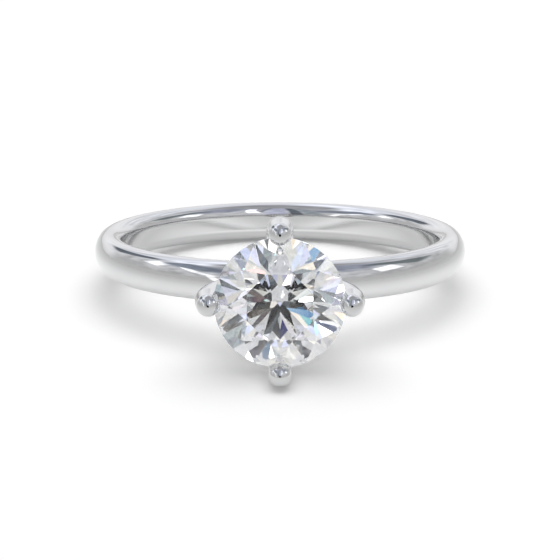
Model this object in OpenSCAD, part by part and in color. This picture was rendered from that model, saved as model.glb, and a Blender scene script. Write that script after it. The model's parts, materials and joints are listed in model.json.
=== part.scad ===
// Solitaire engagement ring: a slim domed band, a four-claw peg head and one round brilliant stone.
// It lies as it does on a table, on the back of the band and the bottom claw, with the stone facing -Y.
// X runs across the ring, Z is up, and the origin is the centre of the finger hole.

/* [Band] */
// Finger hole diameter: 16.92 is US size 6.5
bore_d = 16.92; // [15.7:0.01:19.8]
// Thickness of the band, from the finger to the top of the dome
band_t = 1.5; // [1.4:0.05:1.8]
// Width of the band along the finger
band_w = 2.1; // [2:0.05:2.6]
// Radius that rounds the dome into the sides
shoulder_r = 0.6; // [0.5:0.05:0.65]
// Radius that rounds the sides into the flat that touches the finger
corner_r = 0.65; // [0.4:0.05:0.65]

/* [Stone] */
// Diameter across the girdle: 6.5 is a one carat round brilliant
stone_d = 6.5; // [6.3:0.1:6.8]
// Width of the table across its corners, as a share of the girdle diameter
table_share = 0.54; // [0.52:0.01:0.6]
// Slope of the crown's main facets in degrees
crown_angle = 35; // [33:0.5:36]
// Slope of the pavilion's main facets in degrees
pavilion_angle = 40.5; // [40.25:0.25:41.5]
// Thickness of the girdle where it is thickest
girdle_t = 0.18; // [0.16:0.02:0.3]
// Reach of the star facets, as a share of the way from the table to the girdle
star_share = 0.54; // [0.45:0.01:0.6]
// Reach of the lower girdle facets, as a share of the way from the girdle to the culet
lower_share = 0.8; // [0.72:0.01:0.82]

/* [Head] */
// Height of the girdle above the dome of the band
head_h = 4.4; // [4.3:0.05:4.7]
// Diameter of the claws where they bend, which is where they are thickest
claw_d = 1.34; // [1.28:0.02:1.38]
// Diameter of the rounded claw tips
tip_d = 1.16; // [1.1:0.02:1.2]
// Diameter of the claws at the foot
foot_d = 0.9; // [0.8:0.05:0.95]
// Reach of the claw tips over the edge of the stone
tip_reach = 0.3; // [0.25:0.01:0.35]
// Depth below the girdle at which the claws start to bend inwards
bend_drop = 0.35; // [0.3:0.05:0.45]
// Radius of that bend, along the middle of the claw
bend_r = 4; // [3.8:0.1:4.2]
// Lean of the lower part of the claws, in degrees from the stone's axis
claw_lean = 50; // [49:0.5:51]
// Diameter of the gallery rail wires
rail_d = 0.66; // [0.6:0.02:0.7]
// Diameter of the peg that goes through the band
peg_d = 1.2; // [1:0.05:1.3]

/* [Hidden] */
metal_colour = "silver";
stone_colour = "aliceblue";

// Sides of the wires and small rounds, and of the band
$fn = 72;
hoop_fn = 240;
// Length by which a cutting shape runs past what it cuts
past = 1;

// Band section: u runs outwards from the finger, v along the finger
bore_r = bore_d / 2;
band_r = bore_r + band_t;
half_w = band_w / 2;
widest_u = band_t / 2;
shoulder_v = half_w - shoulder_r;
// The dome is tangent to both shoulders, which sets its radius and where it ends
dome_rise = band_t - widest_u;
dome_r = (dome_rise ^ 2 + half_w ^ 2 - 2 * half_w * shoulder_r) / (2 * (dome_rise - shoulder_r));
dome_u = band_t - dome_r;
dome_angle = atan2(shoulder_v, widest_u - dome_u);

// Stone, with its girdle plane at height 0 and its table facing up
stone_r = stone_d / 2;
half_girdle = girdle_t / 2;
// Angle from one main facet to the next, and from a main facet to the star beside it
main_turn = 45;
half_turn = main_turn / 2;
table_r = stone_r * table_share;
table_h = half_girdle + (stone_r - table_r) * tan(crown_angle);
culet_h = -half_girdle - stone_r * tan(pavilion_angle);
// Where two crown mains meet under a star, and two pavilion mains between lower girdle facets
table_edge_r = table_r * cos(half_turn);
star_r = table_edge_r + star_share * (stone_r - table_edge_r);
star_h = half_girdle + (stone_r - star_r * cos(half_turn)) * tan(crown_angle);
lower_r = stone_r * (1 - lower_share);
lower_h = -half_girdle - (stone_r - lower_r * cos(half_turn)) * tan(pavilion_angle);
// Rise per length of the half facets above and below the girdle, in the direction of a star
upper_slope = (star_h - half_girdle) / (stone_r - star_r);
lower_slope = (-half_girdle - lower_h) / (stone_r - lower_r);
// Straight steps in which each half facet follows the round girdle
arc_steps = 6;
arc_count = 16 * arc_steps;

// Head, in the stone's axes: r runs from the stone's axis, h from the girdle plane towards the table
girdle_reach = band_r + head_h;
claw_r = stone_r - tip_reach + tip_d / 2;
tip_h = table_h - tip_d / 2;
bend_centre_r = claw_r - bend_r;
leg_top_r = bend_centre_r + bend_r * cos(claw_lean);
leg_top_h = -bend_drop - bend_r * sin(claw_lean);
// The feet go this far below the dome, round its sides
foot_sink = 0.25;
leg_l = (leg_top_h + head_h + foot_sink) / cos(claw_lean);
// Balls join the bend to the neck and the leg, very slightly proud of the claw
ball_d = claw_d + 0.02;
// Gap between the stone and its seats
seat_gap = 0.01;
// The rails: the upper one sits under the pavilion, the lower one round the culet
upper_rail_r = 2.7;
upper_rail_h = -1.4;
lower_rail_r = 1.5;
lower_rail_h = -3;
// The base: a cup that widens upwards from the dome of the band, with a dish in its top
cup_foot_r = 0.9;
cup_top_r = 1.3;
cup_rise = 0.8;
cup_sink = 0.6;
dish_r = 0.7;
dish_depth = 0.35;

// At rest the ring leans on a shoulder at the back and on the bend of the bottom claw. In side view
// both are circles, and the table top is the line that touches the two.
back_rest = [bore_r + widest_u, -shoulder_v];
claw_rest = [bend_drop - girdle_reach, -bend_centre_r];
rest_span = back_rest - claw_rest;
claw_rest_r = bend_r + claw_d / 2;
rest_tilt = atan2(rest_span[1], rest_span[0]) + asin((claw_rest_r - shoulder_r) / norm(rest_span));

// Tips the ring from level to how it lies
module lying_down() {
    rotate([-rest_tilt, 0, 0]) children();
}

// Moves a shape from the stone's axes, with the table facing up, to the front of the ring
module at_head() {
    translate([0, -girdle_reach, 0]) rotate([90, 0, 0]) children();
}

// The band's section, cut across the hoop
module band_section() {
    // Dome
    intersection() {
        translate([dome_u, 0]) circle(r = dome_r, $fn = hoop_fn);
        polygon([
            [dome_u, 0],
            [band_t + past, (band_t + past - dome_u) * tan(dome_angle)],
            [band_t + past, -(band_t + past - dome_u) * tan(dome_angle)]
        ]);
    }
    // Shoulders, sides, corners and the flat
    for (side = [-1, 1]) {
        translate([widest_u, side * shoulder_v]) circle(r = shoulder_r);
        translate([corner_r, side * (half_w - corner_r)]) circle(r = corner_r);
    }
    translate([corner_r, -half_w]) square([widest_u - corner_r, band_w]);
    translate([0, corner_r - half_w]) square([widest_u, band_w - 2 * corner_r]);
}

module hoop() {
    rotate_extrude($fn = hoop_fn) translate([bore_r, 0]) band_section();
}

// Runs from inside the finger hole, through the wall of the band, into the cup
module peg() {
    translate([0, 0, -head_h - band_t - past]) cylinder(d = peg_d, h = band_t + past + cup_rise / 2);
}

module shank() {
    color(metal_colour) lying_down() difference() {
        hoop();
        at_head() peg();
    }
}

// The outside of the cup, down to inside the wall of the band
module cup() {
    translate([0, 0, -head_h]) rotate_extrude() polygon([
        [0, -cup_sink],
        [cup_foot_r, -cup_sink],
        [cup_foot_r, 0],
        [cup_top_r, cup_rise],
        [0, cup_rise]
    ]);
}

// The cup's hollow, a cone that is dish_r wide where it meets the cup's top
module dish() {
    translate([0, 0, cup_rise - dish_depth - head_h]) cylinder(r1 = 0, r2 = 2 * dish_r, h = 2 * dish_depth);
}

module setting_base() {
    color(metal_colour) lying_down() difference() {
        at_head() {
            cup();
            peg();
        }
        at_head() dish();
        // The wall of the band around the peg, and the finger hole
        difference() {
            hoop();
            at_head() peg();
        }
        cylinder(r = bore_r, h = band_w + past, center = true, $fn = hoop_fn);
    }
}

// A wire ring round the stone's axis
module rail(r, h) {
    translate([0, 0, h]) rotate_extrude() translate([r, 0]) circle(d = rail_d);
}

module lower_rail() {
    rail(lower_rail_r, lower_rail_h);
}

module upper_rail() {
    rail(upper_rail_r, upper_rail_h);
}

module lower_gallery_rail() {
    color(metal_colour) lying_down() at_head() lower_rail();
}

module upper_gallery_rail() {
    color(metal_colour) lying_down() at_head() upper_rail();
}

// One whole claw from tip to foot, leaning out along +X
module whole_claw() {
    // Tip and neck
    translate([claw_r, 0, tip_h]) sphere(d = tip_d);
    translate([claw_r, 0, -bend_drop]) {
        cylinder(d1 = claw_d, d2 = tip_d, h = tip_h + bend_drop);
        sphere(d = ball_d);
    }
    // Bend
    translate([bend_centre_r, 0, -bend_drop]) rotate([90, 0, 0]) rotate([0, 0, -claw_lean])
        rotate_extrude(angle = claw_lean) translate([bend_r, 0]) circle(d = claw_d);
    // Leg and foot
    translate([leg_top_r, 0, leg_top_h]) rotate([0, 180 + claw_lean, 0]) {
        sphere(d = ball_d);
        cylinder(d1 = claw_d, d2 = foot_d, h = leg_l);
        translate([0, 0, leg_l]) sphere(d = foot_d);
    }
}

// The space that the stone takes out of the claws, as the setter's cutter leaves it
module stone_seat() {
    seat_r = stone_r + seat_gap;
    seat_top = tip_h + tip_d;
    rotate_extrude($fn = hoop_fn) polygon([
        [0, -half_girdle - seat_r * lower_slope],
        [seat_r, -half_girdle],
        [seat_r, half_girdle],
        [seat_r - (seat_top - half_girdle) / upper_slope, seat_top],
        [0, seat_top]
    ]);
}

// A claw at its angle round the stone, seated for the stone and joined to the rails, cup and band
module claw(angle) {
    color(metal_colour) lying_down() difference() {
        at_head() difference() {
            rotate([0, 0, angle]) whole_claw();
            stone_seat();
            upper_rail();
            lower_rail();
            cup();
        }
        hoop();
    }
}

module claw_right() {
    claw(0);
}

module claw_top() {
    claw(90);
}

module claw_left() {
    claw(180);
}

module claw_bottom() {
    claw(270);
}

// A point of the stone, at an angle round its axis
function at_angle(angle, r, h) = [r * cos(angle), r * sin(angle), h];

// How far the flat half facets cut into the girdle at an angle, for a slope of 1
function girdle_dip(angle) =
    let (turn = abs(angle - main_turn * round(angle / main_turn)))
    stone_r * sin(turn) * (tan(half_turn / 2) - tan(turn / 2));

// Round brilliant: claws stand at the stars, and the main facets between them
module centre_stone() {
    arc_angles = [for (i = [0:arc_count - 1]) 360 * i / arc_count];
    points = [
        for (k = [0:7]) at_angle(main_turn * k + half_turn, table_r, table_h),
        for (k = [0:7]) at_angle(main_turn * k, star_r, star_h),
        for (k = [0:7]) at_angle(main_turn * k, lower_r, lower_h),
        for (a = arc_angles) at_angle(a, stone_r, half_girdle - upper_slope * girdle_dip(a)),
        for (a = arc_angles) at_angle(a, stone_r, lower_slope * girdle_dip(a) - half_girdle),
        [0, 0, culet_h]
    ];
    // Where each kind of point is in the list
    function table_point(k) = k % 8;
    function star_point(k) = 8 + k % 8;
    function lower_point(k) = 16 + k % 8;
    function top_edge(i) = 24 + i % arc_count;
    function bottom_edge(i) = 24 + arc_count + i % arc_count;
    culet_point = 24 + 2 * arc_count;
    // The girdle step at main facet k, and at half facet j of the 16
    function main_step(k) = (2 * k + 1) * arc_steps;
    function half_arc(j) = [for (i = [0:arc_steps]) j * arc_steps + i];

    table = [[for (k = [7:-1:0]) table_point(k)]];
    stars = [for (k = [0:7]) [table_point(k), star_point(k), table_point(k + 7)]];
    crown_mains = [for (k = [0:7])
        [table_point(k), star_point(k + 1), top_edge(main_step(k)), star_point(k)]];
    upper_halves = [for (j = [0:15])
        [for (n = [arc_steps:-1:0]) top_edge(half_arc(j)[n]), star_point(floor((j + 1) / 2))]];
    girdle = [for (i = [0:arc_count - 1])
        [top_edge(i), top_edge(i + 1), bottom_edge(i + 1), bottom_edge(i)]];
    lower_halves = [for (j = [0:15])
        [lower_point(floor((j + 1) / 2)), for (i = half_arc(j)) bottom_edge(i)]];
    pavilion_mains = [for (k = [0:7])
        [culet_point, lower_point(k), bottom_edge(main_step(k)), lower_point(k + 1)]];

    color(stone_colour) lying_down() at_head() polyhedron(points,
        concat(table, stars, crown_mains, upper_halves, girdle, lower_halves, pavilion_mains));
}

shank();
setting_base();
lower_gallery_rail();
upper_gallery_rail();
claw_top();
claw_right();
claw_bottom();
claw_left();
centre_stone();
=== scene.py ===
"""Engagement ring: polished white band, four-claw peg head and round brilliant, on a white table."""

import json
from math import acos, atan2, cos, pi, radians, sin, sqrt, tan

import bmesh
import bpy
from mathutils import Matrix, Vector


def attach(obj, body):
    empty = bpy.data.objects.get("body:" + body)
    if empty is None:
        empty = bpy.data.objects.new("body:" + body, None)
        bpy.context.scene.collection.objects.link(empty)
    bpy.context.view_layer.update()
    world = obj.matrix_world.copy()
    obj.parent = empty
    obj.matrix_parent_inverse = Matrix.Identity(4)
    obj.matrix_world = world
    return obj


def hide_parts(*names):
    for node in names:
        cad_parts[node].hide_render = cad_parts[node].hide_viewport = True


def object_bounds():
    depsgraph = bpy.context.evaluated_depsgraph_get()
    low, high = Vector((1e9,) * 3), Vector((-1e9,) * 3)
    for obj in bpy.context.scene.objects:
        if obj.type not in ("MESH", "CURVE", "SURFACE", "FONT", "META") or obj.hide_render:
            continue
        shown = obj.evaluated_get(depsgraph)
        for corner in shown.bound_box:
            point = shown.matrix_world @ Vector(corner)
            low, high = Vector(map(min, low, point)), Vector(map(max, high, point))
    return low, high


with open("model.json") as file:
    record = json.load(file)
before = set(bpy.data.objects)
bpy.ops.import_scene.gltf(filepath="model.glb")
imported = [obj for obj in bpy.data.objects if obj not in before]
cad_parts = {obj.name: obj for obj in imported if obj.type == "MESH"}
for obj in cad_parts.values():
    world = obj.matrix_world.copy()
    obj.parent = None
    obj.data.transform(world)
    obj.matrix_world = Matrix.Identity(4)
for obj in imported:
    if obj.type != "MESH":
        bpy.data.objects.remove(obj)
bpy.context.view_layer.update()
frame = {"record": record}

# ---------------------------------------------------------------- dimensions
# Millimetres, and angles given in degrees
MM = 0.001
mount = frame["record"]["mounts"][0]
BORE_R = mount["dims"]["r_mm"]
REST_TILT = atan2(mount["axis"][1], mount["axis"][2])
BAND_T = 1.5
BAND_W = 2.1
SHOULDER_R = 0.6
CORNER_R = 0.65
HEAD_H = 4.4
STONE_R = 3.25
HALF_GIRDLE = 0.09
TABLE_SHARE = 0.54
TABLE_R = TABLE_SHARE * STONE_R
CROWN = radians(35)
PAVILION = radians(40.5)
STAR_SHARE = 0.54
LOWER_SHARE = 0.8
CLAW_R = 0.67
TIP_R = 0.58
FOOT_R = 0.45
TIP_REACH = 0.3
BEND_DROP = 0.35
BEND_R = 4.0
CLAW_LEAN = radians(50)
# How far a claw's leg runs on into the cup, below the top of the band
FOOT_SINK = 0.25
RAIL_R = 0.33
PEG_R = 0.6
# The cup and its peg: (r, height over the band) from the end of the peg to the middle of the dish
PEG_END = -1.2
CUP = ((0, PEG_END), (PEG_R, PEG_END), (PEG_R, -0.55), (0.9, -0.55), (0.9, 0.0), (1.3, 0.8),
       (0.7, 0.8), (0, 0.45))
CUP_ROUNDING = 0.04
# The filed end of the peg: its depth, and how far it stands proud of the finger hole
PEG_FACE = 0.1
PEG_PROUD = 0.004
SEAT_GAP = 0.01
UPPER_RAIL = (2.7, -1.4)
LOWER_RAIL = (1.5, -3.0)

BAND_OUT_R = BORE_R + BAND_T
GIRDLE_REACH = BAND_OUT_R + HEAD_H
TABLE_H = HALF_GIRDLE + (STONE_R - TABLE_R) * tan(CROWN)
# Half the angle between neighbouring main facets, and where the half facets meet above and below the girdle
HALF_TURN = pi / 8
TABLE_EDGE = TABLE_R * cos(HALF_TURN)
STAR_R = TABLE_EDGE + STAR_SHARE * (STONE_R - TABLE_EDGE)
STAR_H = HALF_GIRDLE + (STONE_R - STAR_R * cos(HALF_TURN)) * tan(CROWN)
LOWER_R = STONE_R * (1 - LOWER_SHARE)
LOWER_H = -HALF_GIRDLE - (STONE_R - LOWER_R * cos(HALF_TURN)) * tan(PAVILION)
UPPER_SLOPE = (STAR_H - HALF_GIRDLE) / (STONE_R - STAR_R)
LOWER_SLOPE = (-HALF_GIRDLE - LOWER_H) / (STONE_R - LOWER_R)

# ---------------------------------------------------------------- places
# The ring's axes have the finger along Z and the stone towards -Y; the stone's have the table facing +Z.
RING = Matrix.Scale(MM, 4) @ Matrix.Rotation(-REST_TILT, 4, "X")
HEAD = RING @ Matrix.Translation((0, -GIRDLE_REACH, 0)) @ Matrix.Rotation(radians(90), 4, "X")


def piece(name, bm, place, material, sharp=radians(35)):
    """Makes a bmesh in millimetres an object of the assembly, smooth but at edges sharper than this."""
    bmesh.ops.recalc_face_normals(bm, faces=bm.faces)
    bm.transform(place)
    for face in bm.faces:
        face.smooth = True
    for edge in bm.edges:
        edge.smooth = edge.calc_face_angle(0) < sharp
    mesh = bpy.data.meshes.new(name)
    bm.to_mesh(mesh)
    bm.free()
    obj = bpy.data.objects.new(name, mesh)
    bpy.context.scene.collection.objects.link(obj)
    mesh.materials.append(material)
    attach(obj, "root")
    return obj


def skin(bm, rings):
    """Joins neighbouring rings of vertices with quads; each ring is a closed loop."""
    for a, b in zip(rings, rings[1:]):
        for i in range(len(a)):
            j = (i + 1) % len(a)
            bm.faces.new((a[i], a[j], b[j], b[i]))


def arc(centre, radius, start, end, steps):
    """Points (r, z) along an arc, both ends included."""
    return [(centre[0] + radius * cos(start + (end - start) * i / steps),
             centre[1] + radius * sin(start + (end - start) * i / steps)) for i in range(steps + 1)]


def rounded(corners, radius, steps=8):
    """An open line of (r, z) corners with each inner corner turned into an arc of this radius."""
    line = [corners[0]]
    for before, corner, after in zip(corners, corners[1:], corners[2:]):
        corner = Vector(corner)
        back = (Vector(before) - corner).normalized()
        ahead = (Vector(after) - corner).normalized()
        half = acos(max(-1, min(1, back.dot(ahead)))) / 2
        middle = corner + (back + ahead).normalized() * radius / sin(half)
        first = corner + back * radius / tan(half) - middle
        last = corner + ahead * radius / tan(half) - middle
        sweep = first.angle_signed(last)
        for i in range(steps + 1):
            a = -sweep * i / steps
            r = middle.x + first.x * cos(a) - first.y * sin(a)
            z = middle.y + first.x * sin(a) + first.y * cos(a)
            line.append((r, z))
    line.append(corners[-1])
    return line


def revolve(bm, outline, turns=256):
    """A closed outline of (r, z) points turned about Z."""
    rings = []
    for k in range(turns):
        a = 2 * pi * k / turns
        rings.append([bm.verts.new((r * cos(a), r * sin(a), z)) for r, z in outline])
    skin(bm, rings + rings[:1])


# ---------------------------------------------------------------- node helpers
def link(tree, source, target):
    tree.links.new(source, target)


def value_node(tree, operation, first, second=None, third=None):
    """A Math node; each argument is a socket or a plain number."""
    node = tree.nodes.new("ShaderNodeMath")
    node.operation = operation
    for slot, given in enumerate((first, second, third)):
        if given is None:
            continue
        if isinstance(given, (int, float)):
            node.inputs[slot].default_value = given
        else:
            link(tree, given, node.inputs[slot])
    return node.outputs[0]


def ramp_down(tree, distance, edge_at, soft):
    """One below edge_at and nought above it, with a smooth step; a negative soft turns it round."""
    node = tree.nodes.new("ShaderNodeMapRange")
    node.interpolation_type = "SMOOTHSTEP"
    link(tree, distance, node.inputs["Value"])
    node.inputs["From Min"].default_value = edge_at + soft
    node.inputs["From Max"].default_value = edge_at - soft
    return node.outputs["Result"]


def blend(tree, under, over, amount):
    """Mixes two colours; each is a socket or an (r, g, b)."""
    node = tree.nodes.new("ShaderNodeMix")
    node.data_type = "RGBA"
    node.clamp_factor = True
    link(tree, amount, node.inputs["Factor"])
    if isinstance(under, tuple):
        node.inputs["A"].default_value = (*under, 1)
    else:
        link(tree, under, node.inputs["A"])
    if isinstance(over, tuple):
        node.inputs["B"].default_value = (*over, 1)
    else:
        link(tree, over, node.inputs["B"])
    return node.outputs["Result"]


def set_stops(ramp, stops):
    """Grey stops of a colour ramp, as (position, level)."""
    while len(ramp.elements) < len(stops):
        ramp.elements.new(0.5)
    for element, (position, level) in zip(ramp.elements, stops):
        element.position = position
        element.color = (level, level, level, 1)


def in_hood(tree, direction, hood_r):
    """One where a unit direction falls on the camera's black hood, nought elsewhere."""
    toward = tree.nodes.new("ShaderNodeVectorMath")
    toward.operation = "DOT_PRODUCT"
    link(tree, direction, toward.inputs[0])
    toward.inputs[1].default_value = (0, -cos(HOOD_ELEVATION), sin(HOOD_ELEVATION))
    return ramp_down(tree, value_node(tree, "ARCCOSINE", toward.outputs["Value"]), hood_r, HOOD_EDGE)


# ---------------------------------------------------------------- materials
# The black hood of the camera, as a direction over the table and a radius
HOOD_ELEVATION = radians(5.5)
HOOD_R = radians(11.5)
HOOD_EDGE = radians(1.5)
# Where the stone is, in metres from the middle of the ring
STONE_AT = RING @ Vector((0, -GIRDLE_REACH, 0))
# Where noise from nought to one mostly lies
NOISE_SPAN = (0.3, 0.7)
# Rhodium white: tone and roughness from lowest to highest, and how uneven the polish is, in millimetres
METAL_TONES = ((0.695, 0.698, 0.705), (0.712, 0.714, 0.718))
METAL_ROUGHNESS = (0.02, 0.05)
POLISH_HEIGHT = 0.001
POLISH_STRENGTH = 0.25
DIAMOND_IOR = 2.417
DIAMOND_TINTS = ((0.985, 0.99, 1.0), (1.0, 1.0, 1.0))
# The share of the table's light that goes straight through the stone
STONE_PASS = 0.9
BLACK = (0.0, 0.0, 0.0)
WHITE = (1.0, 1.0, 1.0)
# The table as the camera sees it, and its faint glow: painted light that keeps its deepest shadows grey
TABLE_WHITE = (0.95, 0.95, 0.95)
TABLE_PAINTED_GLOW = 0.125
# The table as the ring mirrors it: distance from the ring's middle, as a share of this many metres, and tone
TABLE_REACH = 0.1
# Painted shade: darker just inside the band, and darker further out from the ring as a painted fall-off of
# the lamp
TABLE_PAINTED_SHADE = ((0.03, 1.0), (0.055, 0.86), (0.072, 0.68), (0.082, 0.80), (0.088, 1.0), (0.10, 1.0),
               (0.13, 0.96), (0.16, 0.88), (0.19, 0.80), (0.24, 0.73), (0.45, 0.66), (1.0, 0.60))


def in_millimetres(tree):
    """Coordinates on the object itself, one unit to a millimetre."""
    scale = tree.nodes.new("ShaderNodeVectorMath")
    scale.operation = "SCALE"
    link(tree, tree.nodes.new("ShaderNodeTexCoord").outputs["Object"], scale.inputs[0])
    scale.inputs["Scale"].default_value = 1 / MM
    return scale.outputs[0]


def noise_between(tree, place, scale, low, high, detail=3.0):
    """Soft noise of this many lumps to the millimetre, spread from low to high."""
    noise = tree.nodes.new("ShaderNodeTexNoise")
    link(tree, place, noise.inputs["Vector"])
    noise.inputs["Scale"].default_value = scale
    noise.inputs["Detail"].default_value = detail
    spread = tree.nodes.new("ShaderNodeMapRange")
    link(tree, noise.outputs["Fac"], spread.inputs["Value"])
    spread.inputs["From Min"].default_value = NOISE_SPAN[0]
    spread.inputs["From Max"].default_value = NOISE_SPAN[1]
    spread.inputs["To Min"].default_value = low
    spread.inputs["To Max"].default_value = high
    return spread.outputs["Result"]


def polished_metal():
    """Rhodium-plated gold: a mirror, a little uneven in tone, gloss and surface from hand polishing."""
    mat = bpy.data.materials.new("polished_metal")
    mat.use_nodes = True
    tree = mat.node_tree
    bsdf = tree.nodes["Principled BSDF"]
    place = in_millimetres(tree)
    bsdf.inputs["Metallic"].default_value = 1.0
    tone = noise_between(tree, place, 0.35, 0.0, 1.0)
    link(tree, blend(tree, *METAL_TONES, tone), bsdf.inputs["Base Color"])
    link(tree, noise_between(tree, place, 1.3, *METAL_ROUGHNESS), bsdf.inputs["Roughness"])
    bump = tree.nodes.new("ShaderNodeBump")
    bump.inputs["Strength"].default_value = POLISH_STRENGTH
    bump.inputs["Distance"].default_value = POLISH_HEIGHT * MM
    link(tree, noise_between(tree, place, 0.8, 0.0, 1.0, detail=1.0), bump.inputs["Height"])
    link(tree, bump.outputs[0], bsdf.inputs["Normal"])
    return mat


def diamond():
    """Clear diamond; part of the lamp's light goes straight through it to the table."""
    mat = bpy.data.materials.new("diamond")
    mat.use_nodes = True
    tree = mat.node_tree
    tree.nodes.clear()
    out = tree.nodes.new("ShaderNodeOutputMaterial")
    glass = tree.nodes.new("ShaderNodeBsdfGlass")
    glass.inputs["IOR"].default_value = DIAMOND_IOR
    glass.inputs["Roughness"].default_value = 0.0
    tint = noise_between(tree, in_millimetres(tree), 0.5, 0.0, 1.0)
    link(tree, blend(tree, *DIAMOND_TINTS, tint), glass.inputs["Color"])
    clear = tree.nodes.new("ShaderNodeBsdfTransparent")
    path = tree.nodes.new("ShaderNodeLightPath")
    mix = tree.nodes.new("ShaderNodeMixShader")
    passed = value_node(tree, "MULTIPLY", path.outputs["Is Diffuse Ray"], STONE_PASS)
    link(tree, passed, mix.inputs[0])
    link(tree, glass.outputs[0], mix.inputs[1])
    link(tree, clear.outputs[0], mix.inputs[2])
    link(tree, mix.outputs[0], out.inputs[0])
    return mat


def white_table():
    """White card. The ring mirrors it with painted shade: darker just inside the band and further out from
    the ring.
    """
    mat = bpy.data.materials.new("white_table")
    mat.use_nodes = True
    tree = mat.node_tree
    bsdf = tree.nodes["Principled BSDF"]
    bsdf.inputs["Roughness"].default_value = 0.6
    bsdf.inputs["Specular IOR Level"].default_value = 0.0
    place = tree.nodes.new("ShaderNodeTexCoord").outputs["Object"]
    reach = tree.nodes.new("ShaderNodeVectorMath")
    reach.operation = "LENGTH"
    link(tree, place, reach.inputs[0])
    span = tree.nodes.new("ShaderNodeMapRange")
    link(tree, reach.outputs["Value"], span.inputs["Value"])
    span.inputs["From Min"].default_value = 0.0
    span.inputs["From Max"].default_value = TABLE_REACH
    # Painted shade on the table as the ring mirrors it, darker just inside the band and further out
    fall = tree.nodes.new("ShaderNodeValToRGB")
    link(tree, span.outputs["Result"], fall.inputs["Fac"])
    set_stops(fall.color_ramp, TABLE_PAINTED_SHADE)
    # Painted reflection: the table is black where the stone sees it in line with the camera's black hood
    from_stone = tree.nodes.new("ShaderNodeVectorMath")
    from_stone.operation = "SUBTRACT"
    link(tree, tree.nodes.new("ShaderNodeNewGeometry").outputs["Position"], from_stone.inputs[0])
    from_stone.inputs[1].default_value = STONE_AT
    direction = tree.nodes.new("ShaderNodeVectorMath")
    direction.operation = "NORMALIZE"
    link(tree, from_stone.outputs[0], direction.inputs[0])
    painted_hood_reflection = in_hood(tree, direction.outputs[0], HOOD_R)
    mirrored = blend(tree, fall.outputs["Color"], BLACK, painted_hood_reflection)
    path = tree.nodes.new("ShaderNodeLightPath")
    colour = blend(tree, mirrored, TABLE_WHITE, path.outputs["Is Camera Ray"])
    link(tree, colour, bsdf.inputs["Base Color"])
    # Painted light: the table glows faintly in its own colour, lifting its deepest shadows
    link(tree, colour, bsdf.inputs["Emission Color"])
    bsdf.inputs["Emission Strength"].default_value = TABLE_PAINTED_GLOW
    return mat


METAL = polished_metal()
DIAMOND = diamond()


# ---------------------------------------------------------------- band
def band_outline(steps=16):
    """The band's section as (r, z) points: a domed outside, rounded shoulders and corners, a flat inside."""
    half_w = BAND_W / 2
    widest = BAND_T / 2
    rise = BAND_T - widest
    dome_r = (rise ** 2 + half_w ** 2 - 2 * half_w * SHOULDER_R) / (2 * (rise - SHOULDER_R))
    dome_u = BAND_T - dome_r
    shoulder_v = half_w - SHOULDER_R
    dome_end = atan2(shoulder_v, widest - dome_u)
    half = arc((dome_u, 0), dome_r, 0, dome_end, steps)
    half += arc((widest, shoulder_v), SHOULDER_R, dome_end, pi / 2, steps)[1:]
    half += arc((CORNER_R, half_w - CORNER_R), CORNER_R, pi / 2, pi, steps)
    flat = half_w - CORNER_R
    flat_steps = 6
    half += [(0, flat * (1 - i / flat_steps)) for i in range(1, flat_steps + 1)]
    mirrored = [(u, -v) for u, v in half[-2:0:-1]]
    return [(BORE_R + u, v) for u, v in half + mirrored]


def make_band():
    """The whole hoop, turned about the finger's axis."""
    bm = bmesh.new()
    revolve(bm, band_outline(), turns=512)
    obj = piece("band", bm, RING, METAL)
    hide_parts("shank")


# ---------------------------------------------------------------- head
def at_angle(turn, r, h):
    """A point on the head, this far round it, out from its axis and up it."""
    return Vector((r * cos(turn), r * sin(turn), h))


def claw_path(leg_steps=24, bend_steps=24, tip_steps=12):
    """Middle line and radius of a claw in its own plane, as (r, h, radius, lean) from foot to tip."""
    axis_r = STONE_R - TIP_REACH + TIP_R
    tip_h = TABLE_H - TIP_R
    bend_c = axis_r - BEND_R
    top_r = bend_c + BEND_R * cos(CLAW_LEAN)
    top_h = -BEND_DROP - BEND_R * sin(CLAW_LEAN)
    leg = (top_h + HEAD_H + FOOT_SINK) / cos(CLAW_LEAN)
    rows = []
    for i in range(leg_steps + 1):
        s = 1 - i / leg_steps
        rows.append((top_r - leg * s * sin(CLAW_LEAN), top_h - leg * s * cos(CLAW_LEAN),
                     CLAW_R + (FOOT_R - CLAW_R) * s, CLAW_LEAN))
    for i in range(1, bend_steps + 1):
        a = CLAW_LEAN * (1 - i / bend_steps)
        rows.append((bend_c + BEND_R * cos(a), -BEND_DROP - BEND_R * sin(a), CLAW_R, a))
    for i in range(1, tip_steps + 1):
        s = i / tip_steps
        rows.append((axis_r, -BEND_DROP + (tip_h + BEND_DROP) * s, CLAW_R + (TIP_R - CLAW_R) * s, 0.0))
    return rows


def seat_mesh(turns=512):
    """The space the stone takes out of the claws: the stone's own slopes above and below the girdle."""
    seat_r = STONE_R + SEAT_GAP
    top = TABLE_H + TIP_R
    bm = bmesh.new()
    top_r = seat_r - (top - HALF_GIRDLE) / UPPER_SLOPE
    outline = [(seat_r, -HALF_GIRDLE), (seat_r, HALF_GIRDLE), (top_r, top)]
    rings = [[bm.verts.new(at_angle(2 * pi * k / turns, r, h)) for k in range(turns)] for r, h in outline]
    skin(bm, rings)
    tip = bm.verts.new((0, 0, -HALF_GIRDLE - seat_r * LOWER_SLOPE))
    for k in range(turns):
        bm.faces.new((tip, rings[0][(k + 1) % turns], rings[0][k]))
    bm.faces.new(rings[-1])
    bmesh.ops.recalc_face_normals(bm, faces=bm.faces)
    return bm


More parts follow.
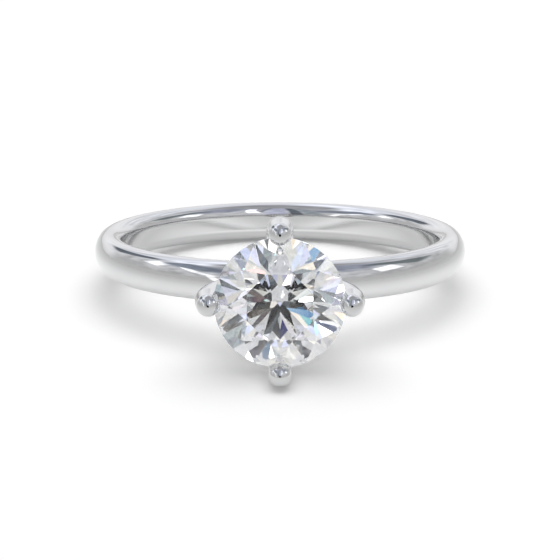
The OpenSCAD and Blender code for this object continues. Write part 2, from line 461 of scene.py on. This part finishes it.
def carved(bm, cutter):
    """A bmesh with another one cut out of it."""
    objects = []
    for each in (bm, cutter):
        mesh = bpy.data.meshes.new("carving")
        each.to_mesh(mesh)
        each.free()
        objects.append(bpy.data.objects.new("carving", mesh))
        bpy.context.scene.collection.objects.link(objects[-1])
    body, tool = objects
    cut = body.modifiers.new("cut", "BOOLEAN")
    cut.operation = "DIFFERENCE"
    cut.solver = "EXACT"
    cut.object = tool
    result = bmesh.new()
    result.from_object(body, bpy.context.evaluated_depsgraph_get())
    for each in objects:
        mesh = each.data
        bpy.data.objects.remove(each)
        bpy.data.meshes.remove(mesh)
    return result


def claw_mesh(sides=64, cap=20):
    """One claw along +X: round wire with domed ends, the stone's seat cut out of it."""
    bm = bmesh.new()
    rings = []

    def ring(r, h, radius, lean):
        side = Vector((cos(lean), 0, -sin(lean)))
        rings.append([bm.verts.new(Vector((r, 0, h)) + side * radius * cos(2 * pi * k / sides)
                                   + Vector((0, radius * sin(2 * pi * k / sides), 0))) for k in range(sides)])

    rows = claw_path()
    r, h, radius, lean = rows[0]
    for i in range(cap, 0, -1):
        a = pi / 2 * i / (cap + 1)
        ring(r - radius * sin(a) * sin(lean), h - radius * sin(a) * cos(lean), radius * cos(a), lean)
    foot_end = bm.verts.new((r - radius * sin(lean), 0, h - radius * cos(lean)))
    for row in rows:
        ring(*row)
    r, h, radius, lean = rows[-1]
    for i in range(1, cap + 1):
        a = pi / 2 * i / (cap + 1)
        ring(r + radius * sin(a) * sin(lean), h + radius * sin(a) * cos(lean), radius * cos(a), lean)
    tip_end = bm.verts.new((r + radius * sin(lean), 0, h + radius * cos(lean)))
    skin(bm, rings)
    for i in range(sides):
        bm.faces.new((foot_end, rings[0][i], rings[0][(i + 1) % sides]))
        bm.faces.new((tip_end, rings[-1][(i + 1) % sides], rings[-1][i]))
    bmesh.ops.recalc_face_normals(bm, faces=bm.faces)
    return carved(bm, seat_mesh())


def make_claws():
    """The four claws, a quarter turn apart."""
    for name, turn in (("right", 0), ("top", 90), ("left", 180), ("bottom", 270)):
        place = HEAD @ Matrix.Rotation(radians(turn), 4, "Z")
        obj = piece("polished_claw_" + name, claw_mesh(), place, METAL)
        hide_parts("claw_" + name)


def make_rail(name, node, rail):
    """A ring of round wire between the claws; rail is its radius and height on the head."""
    bm = bmesh.new()
    outline = arc(rail, RAIL_R, 0, 2 * pi, 32)[:-1]
    revolve(bm, outline, turns=128)
    obj = piece(name, bm, HEAD, METAL)
    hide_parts(node)


def make_base():
    """The cup on the band, and its peg, whose end lies in the surface of the finger hole."""
    bm = bmesh.new()
    outline = rounded(CUP, CUP_ROUNDING)
    revolve(bm, [(r, h - HEAD_H) for r, h in outline], turns=96)
    bmesh.ops.remove_doubles(bm, verts=bm.verts, dist=1e-5)
    proud_r = BORE_R - PEG_PROUD
    for vertex in bm.verts:
        lift = vertex.co.z + HEAD_H - PEG_END
        if lift < PEG_FACE:
            vertex.co.z = sqrt(proud_r ** 2 - vertex.co.x ** 2) - GIRDLE_REACH + lift
    obj = piece("base", bm, HEAD, METAL)
    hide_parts("setting_base")


def brilliant_mesh(arc_steps=8):
    """The round brilliant, facet by facet: claws stand at the stars, the main facets between them."""
    main_turn = 2 * HALF_TURN
    count = 16 * arc_steps
    culet_h = -HALF_GIRDLE - STONE_R * tan(PAVILION)

    def dip(turn):
        """How far outside a half facet's level line the round edge of the stone lies at this turn."""
        off = abs(turn - main_turn * round(turn / main_turn))
        return STONE_R * sin(off) * (tan(HALF_TURN / 2) - tan(off / 2))

    bm = bmesh.new()
    table = [bm.verts.new(at_angle(main_turn * k + HALF_TURN, TABLE_R, TABLE_H)) for k in range(8)]
    star = [bm.verts.new(at_angle(main_turn * k, STAR_R, STAR_H)) for k in range(8)]
    lower = [bm.verts.new(at_angle(main_turn * k, LOWER_R, LOWER_H)) for k in range(8)]
    turns = [2 * pi * i / count for i in range(count)]
    top = [bm.verts.new(at_angle(a, STONE_R, HALF_GIRDLE - UPPER_SLOPE * dip(a))) for a in turns]
    bottom = [bm.verts.new(at_angle(a, STONE_R, LOWER_SLOPE * dip(a) - HALF_GIRDLE)) for a in turns]
    culet = bm.verts.new((0, 0, culet_h))
    bm.faces.new(table)
    for k in range(8):
        main = (2 * k + 1) * arc_steps
        bm.faces.new((table[k], table[k - 1], star[k]))
        bm.faces.new((table[k], star[k], top[main], star[(k + 1) % 8]))
        bm.faces.new((culet, lower[(k + 1) % 8], bottom[main], lower[k]))
    for j in range(16):
        near = ((j + 1) // 2) % 8
        run = [(j * arc_steps + i) % count for i in range(arc_steps + 1)]
        bm.faces.new([star[near]] + [top[i] for i in run])
        bm.faces.new([bottom[i] for i in reversed(run)] + [lower[near]])
    for i in range(count):
        j = (i + 1) % count
        bm.faces.new((top[i], top[j], bottom[j], bottom[i]))
    return bm


def make_stone():
    """The stone, every facet flat."""
    obj = piece("brilliant", brilliant_mesh(), HEAD, DIAMOND, sharp=0)
    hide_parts("centre_stone")


make_band()
make_claws()
make_rail("polished_lower_rail", "lower_gallery_rail", LOWER_RAIL)
make_rail("polished_upper_rail", "upper_gallery_rail", UPPER_RAIL)
make_base()
make_stone()

# ---------------------------------------------------------------- floor
# In metres
FLOOR_R = 1.0


def make_floor():
    """A round sheet that the ring lies on."""
    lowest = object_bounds()[0].z
    bm = bmesh.new()
    bmesh.ops.create_circle(bm, cap_ends=True, radius=FLOOR_R, segments=64)
    mesh = bpy.data.meshes.new("floor")
    bm.to_mesh(mesh)
    bm.free()
    mesh.materials.append(white_table())
    floor = bpy.data.objects.new("floor", mesh)
    floor.location.z = lowest
    bpy.context.scene.collection.objects.link(floor)


make_floor()

# ---------------------------------------------------------------- light
# Cards and flags round the ring: azimuth and elevation of the middle, half width, half height, slant, edge,
# then the colour. All are in degrees but the slant, which is degrees of azimuth to each degree of elevation.
# Azimuth 0 is towards the camera, and 90 is to the right in its picture.
CARDS = (
    ("back window", -176, 28, 46, 28, 0.0, 9, (1.04, 1.04, 1.06)),
    ("upper left window", -125, 56, 50, 9, 0.0, 6, (1.40, 1.42, 1.48)),
    ("back left flag", -133, 29, 11, 13, 0.87, 3, (0.18, 0.20, 0.23)),
    ("left softbox", -98, 32, 8, 6, 0.3, 1.5, (1.7, 1.7, 1.72)),
    ("left ceiling", -65, 46, 33, 9, 0.0, 5, (0.30, 0.33, 0.38)),
    ("front left bar", -60, 31, 6, 7, -2.0, 1, (1.6, 1.6, 1.6)),
    ("front left drop", -42, 14, 3, 10, -0.45, 1.2, (1.5, 1.5, 1.5)),
    ("front shade", -26, 38, 8, 26, 0.0, 4, (0.42, 0.46, 0.48)),
    ("front flag", -13, 42, 5, 32, 0.0, 1.5, (0.18, 0.20, 0.22)),
    ("front curtain", 3, 42, 9, 31, 0.0, 4, (0.70, 0.71, 0.84)),
    ("front pole", 17, 52, 2.5, 24, 0.0, 1, (0.34, 0.35, 0.40)),
    ("right ceiling", 75, 56, 30, 13, 0.0, 7, (0.44, 0.46, 0.53)),
    ("front right strip", 28, 47, 6, 19, 0.45, 1, (1.7, 1.7, 1.75)),
    ("right softbox", 80, 30, 10, 7, 0.0, 1.5, (1.8, 1.8, 1.78)),
    ("right flag", 102, 37, 10, 15, -0.9, 3, (0.24, 0.27, 0.27)),
)
# Brightness of the studio without cards, by elevation in degrees
DOME = ((-90, 1.2), (-58, 1.2), (-25, 0.98), (-6, 0.78), (2, 0.63), (12, 0.60), (24, 0.78),
        (38, 0.82), (52, 0.66), (70, 0.48), (90, 0.46))
# Lumps of the clutter to one radius of the sky, its change of the brightness, and the elevation it starts at
CLUTTER_SCALE = 6.0
CLUTTER_RANGE = (0.7, 1.15)
CLUTTER_FROM = radians(12)
CLUTTER_SOFT = radians(8)
# The lamp over the table and the even light of the room, which light the table only
LAMP_R = radians(36)
LAMP_SOFT = radians(9)
LAMP_LEAN = radians(3)
LAMP_LIGHT = 2.06
ROOM_LIGHT = 0.35
# The ceiling is a little blue where the metal mirrors it: middle and half width of the change, and the tint
COOL_FROM = radians(24)
COOL_SOFT = radians(20)
COOL_LIGHT = (0.951, 0.970, 1.026)
# What the stone shows is crisper than the studio, and its colours are a little apart, as after a prism
STONE_CONTRAST = 1.62
STONE_GAIN = {"Red": 1.67, "Green": 1.64, "Blue": 1.53}
FIRE = radians(0.55)
HOOD_FIRE = radians(0.35)


def studio_colour(tree, direction, hood_r):
    """The studio's colour in a direction, with the black hood of the camera."""
    axes = tree.nodes.new("ShaderNodeSeparateXYZ")
    link(tree, direction, axes.inputs[0])
    backwards = value_node(tree, "MULTIPLY", axes.outputs["Y"], -1.0)
    azimuth = value_node(tree, "ARCTAN2", axes.outputs["X"], backwards)
    elevation = value_node(tree, "ARCSINE", axes.outputs["Z"])

    height = tree.nodes.new("ShaderNodeMapRange")
    link(tree, elevation, height.inputs["Value"])
    height.inputs["From Min"].default_value = -pi / 2
    height.inputs["From Max"].default_value = pi / 2
    dome = tree.nodes.new("ShaderNodeValToRGB")
    link(tree, height.outputs["Result"], dome.inputs["Fac"])
    set_stops(dome.color_ramp, [((degree + 90) / 180, level) for degree, level in DOME])
    studio = dome.outputs["Color"]

    for name, card_az, card_el, half_w, half_h, slant, edge, colour in CARDS:
        up = value_node(tree, "SUBTRACT", elevation, radians(card_el))
        across = value_node(tree, "SUBTRACT", azimuth, radians(card_az))
        across = value_node(tree, "MULTIPLY_ADD", up, -slant, across)
        across = value_node(tree, "WRAP", across, pi, -pi)
        inside_w = ramp_down(tree, value_node(tree, "ABSOLUTE", across), radians(half_w), radians(edge))
        inside_h = ramp_down(tree, value_node(tree, "ABSOLUTE", up), radians(half_h), radians(edge))
        studio = blend(tree, studio, colour, value_node(tree, "MULTIPLY", inside_w, inside_h))
        studio.node.label = name

    # Small things on the walls and ceiling, over all but the strips near the table
    clutter = noise_between(tree, direction, CLUTTER_SCALE, *CLUTTER_RANGE, detail=2.0)
    aloft = ramp_down(tree, elevation, CLUTTER_FROM, -CLUTTER_SOFT)
    clutter = value_node(tree, "MULTIPLY_ADD", value_node(tree, "SUBTRACT", clutter, 1.0), aloft, 1.0)
    dimmed = tree.nodes.new("ShaderNodeVectorMath")
    dimmed.operation = "SCALE"
    link(tree, studio, dimmed.inputs[0])
    link(tree, clutter, dimmed.inputs["Scale"])
    return blend(tree, dimmed.outputs[0], BLACK, in_hood(tree, direction, hood_r))


def stone_colour(tree, direction):
    """The studio as the stone breaks it up: red, green and blue come from slightly different directions."""
    parts = []
    for channel, side in (("Red", -1), ("Green", 0), ("Blue", 1)):
        turned = tree.nodes.new("ShaderNodeVectorRotate")
        turned.rotation_type = "EULER_XYZ"
        link(tree, direction, turned.inputs["Vector"])
        turned.inputs["Rotation"].default_value = (side * FIRE, 0, side * FIRE)
        seen = studio_colour(tree, turned.outputs[0], HOOD_R - side * HOOD_FIRE)
        split = tree.nodes.new("ShaderNodeSeparateColor")
        link(tree, seen, split.inputs[0])
        crisp = value_node(tree, "POWER", split.outputs[channel], STONE_CONTRAST)
        parts.append(value_node(tree, "MULTIPLY", crisp, STONE_GAIN[channel]))
    join = tree.nodes.new("ShaderNodeCombineColor")
    for part, socket in zip(parts, join.inputs):
        link(tree, part, socket)
    return join.outputs[0]


def cooled(tree, studio, direction):
    """The studio as the metal mirrors it, bluer towards the ceiling."""
    axes = tree.nodes.new("ShaderNodeSeparateXYZ")
    link(tree, direction, axes.inputs[0])
    low = ramp_down(tree, value_node(tree, "ARCSINE", axes.outputs["Z"]), COOL_FROM, COOL_SOFT)
    tinted = tree.nodes.new("ShaderNodeVectorMath")
    tinted.operation = "MULTIPLY"
    link(tree, studio, tinted.inputs[0])
    link(tree, blend(tree, COOL_LIGHT, WHITE, low), tinted.inputs[1])
    return tinted.outputs[0]


def make_world():
    """The sky: white to the camera, a studio to metal and stone, a lamp and a dim room to the table."""
    world = bpy.data.worlds.new("studio")
    bpy.context.scene.world = world
    world.use_nodes = True
    world.cycles.sampling_method = "NONE"
    tree = world.node_tree
    tree.nodes.clear()
    out = tree.nodes.new("ShaderNodeOutputWorld")
    background = tree.nodes.new("ShaderNodeBackground")
    link(tree, background.outputs[0], out.inputs[0])
    direction = tree.nodes.new("ShaderNodeTexCoord").outputs["Generated"]
    upward = tree.nodes.new("ShaderNodeVectorMath")
    upward.operation = "DOT_PRODUCT"
    link(tree, direction, upward.inputs[0])
    upward.inputs[1].default_value = (0, -sin(LAMP_LEAN), cos(LAMP_LEAN))
    lamp = ramp_down(tree, value_node(tree, "ARCCOSINE", upward.outputs["Value"]), LAMP_R, LAMP_SOFT)
    table_light = blend(tree, (ROOM_LIGHT,) * 3, (LAMP_LIGHT,) * 3, lamp)

    path = tree.nodes.new("ShaderNodeLightPath")
    studio = cooled(tree, studio_colour(tree, direction, HOOD_R), direction)
    studio = blend(tree, studio, stone_colour(tree, direction), path.outputs["Is Transmission Ray"])
    studio = blend(tree, studio, table_light, path.outputs["Diffuse Depth"])
    studio = blend(tree, studio, WHITE, path.outputs["Is Camera Ray"])
    link(tree, studio, background.inputs["Color"])
    background.inputs["Strength"].default_value = 1.0


make_world()

# ---------------------------------------------------------------- camera
# Its place and its tilt down are in the ring's axes. Lengths are in millimetres.
CAMERA_AT = (0, -157.35, 28.99)
CAMERA_DOWN = radians(11.02)
LENS = 190.97
SENSOR = 36


def make_camera():
    """A long lens in front of the ring and a little above it."""
    cam_data = bpy.data.cameras.new("camera")
    cam_data.sensor_width = SENSOR
    cam_data.lens = LENS
    cam_data.clip_start = MM
    camera = bpy.data.objects.new("camera", cam_data)
    camera.location = RING @ Vector(CAMERA_AT)
    camera.rotation_euler = (pi / 2 - CAMERA_DOWN - REST_TILT, 0, 0)
    bpy.context.scene.collection.objects.link(camera)
    bpy.context.scene.camera = camera


make_camera()

# How often light may bounce in the stone and between the claws
LIGHT_BOUNCES = 32
scene = bpy.context.scene
scene.view_settings.view_transform = "Standard"
scene.cycles.use_denoising = True
scene.cycles.max_bounces = LIGHT_BOUNCES
scene.cycles.glossy_bounces = LIGHT_BOUNCES
scene.cycles.transmission_bounces = LIGHT_BOUNCES
